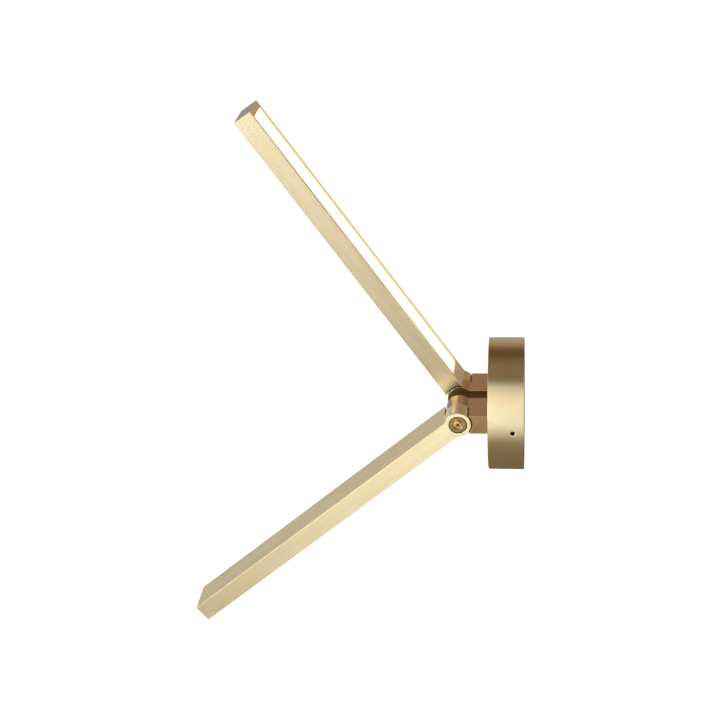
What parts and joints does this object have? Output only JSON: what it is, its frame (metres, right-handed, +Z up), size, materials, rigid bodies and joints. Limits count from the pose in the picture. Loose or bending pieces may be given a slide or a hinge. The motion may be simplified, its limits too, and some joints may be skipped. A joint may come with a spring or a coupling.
{
  "type": "vanity light",
  "caption": "Wall light with a round canopy and slim bar arms with built-in lit strips, each on its own friction hinge, folded out to point up and down.",
  "frame": {"origin": "centre of the canopy's back, in the plane of the wall, midway between the two box slots", "axes": "+Y into the wall, +Z up, +X along the hinge axis towards the arm that hangs down in the pictured pose"},
  "size_m": [0.12, 0.3136, 0.4876],
  "materials": {
    "anodised_aluminium": "fine brushed, champagne gold anodised",
    "opal_acrylic": "satin opal diffuser, lit from behind",
    "shaft_bronze": "turned, antique bronze plating",
    "screw_gold_zinc": "yellow zinc plated",
    "zinc_steel": "clear zinc plated",
    "spring_steel": "oiled spring steel",
    "black_oxide_steel": "black oxide",
    "slip_plastic": "white low friction washer",
    "board_white": "white solder mask on a metal core",
    "led_phosphor": "yellow phosphor under clear silicone",
    "driver_shell": "moulded white plastic",
    "terminal_plastic": "moulded natural nylon",
    "wire_white": "white wire insulation",
    "wire_red": "red silicone insulation",
    "wire_blue": "blue silicone insulation",
    "wire_green": "green wire insulation",
    "green_steel": "green coated screw",
    "tinned_brass": "tinned crimp",
    "grommet_rubber": "black rubber"
  },
  "bodies": {
    "canopy": {"canopy_cover": "anodised_aluminium", "lead_grommets": "grommet_rubber", "mounting_plate": "zinc_steel", "canopy_set_screws": "black_oxide_steel", "block_screws": "zinc_steel", "led_driver": "driver_shell", "terminal_block": "terminal_plastic", "terminal_screws": "tinned_brass", "cover_studs": "zinc_steel", "stud_nuts": "zinc_steel", "ground_screw": "green_steel", "ground_ring_terminal": "tinned_brass", "ground_lead": "wire_green", "supply_leads": "wire_white", "lower_feed_lead": "wire_red", "upper_feed_lead": "wire_blue", "lower_hinge_block": "anodised_aluminium", "upper_hinge_block": "anodised_aluminium", "pivot_shafts": "shaft_bronze", "pivot_screws": "screw_gold_zinc", "pivot_inserts": "zinc_steel", "pivot_spring_washers": "spring_steel", "friction_washers": "slip_plastic"},
    "lower_arm": {"lower_arm_body": "anodised_aluminium", "lower_tip_plug": "anodised_aluminium", "lower_lens": "opal_acrylic", "lower_led_board": "board_white", "lower_leds": "led_phosphor", "lower_board_screws": "zinc_steel", "lower_arm_lead": "wire_red"},
    "upper_arm": {"upper_arm_body": "anodised_aluminium", "upper_tip_plug": "anodised_aluminium", "upper_lens": "opal_acrylic", "upper_led_board": "board_white", "upper_leds": "led_phosphor", "upper_board_screws": "zinc_steel", "upper_arm_lead": "wire_blue"}
  },
  "joints": [
    {"name": "lower_hinge", "type": "hinge", "parent": "canopy", "child": "lower_arm", "pos_m": [0, -0.0585, 0], "axis": [-1, 0, 0], "range_deg": [-50.3, 129.7]},
    {"name": "upper_hinge", "type": "hinge", "parent": "canopy", "child": "upper_arm", "pos_m": [0, -0.0585, 0], "axis": [-1, 0, 0], "range_deg": [-145.8, 34.2]}
  ]
}
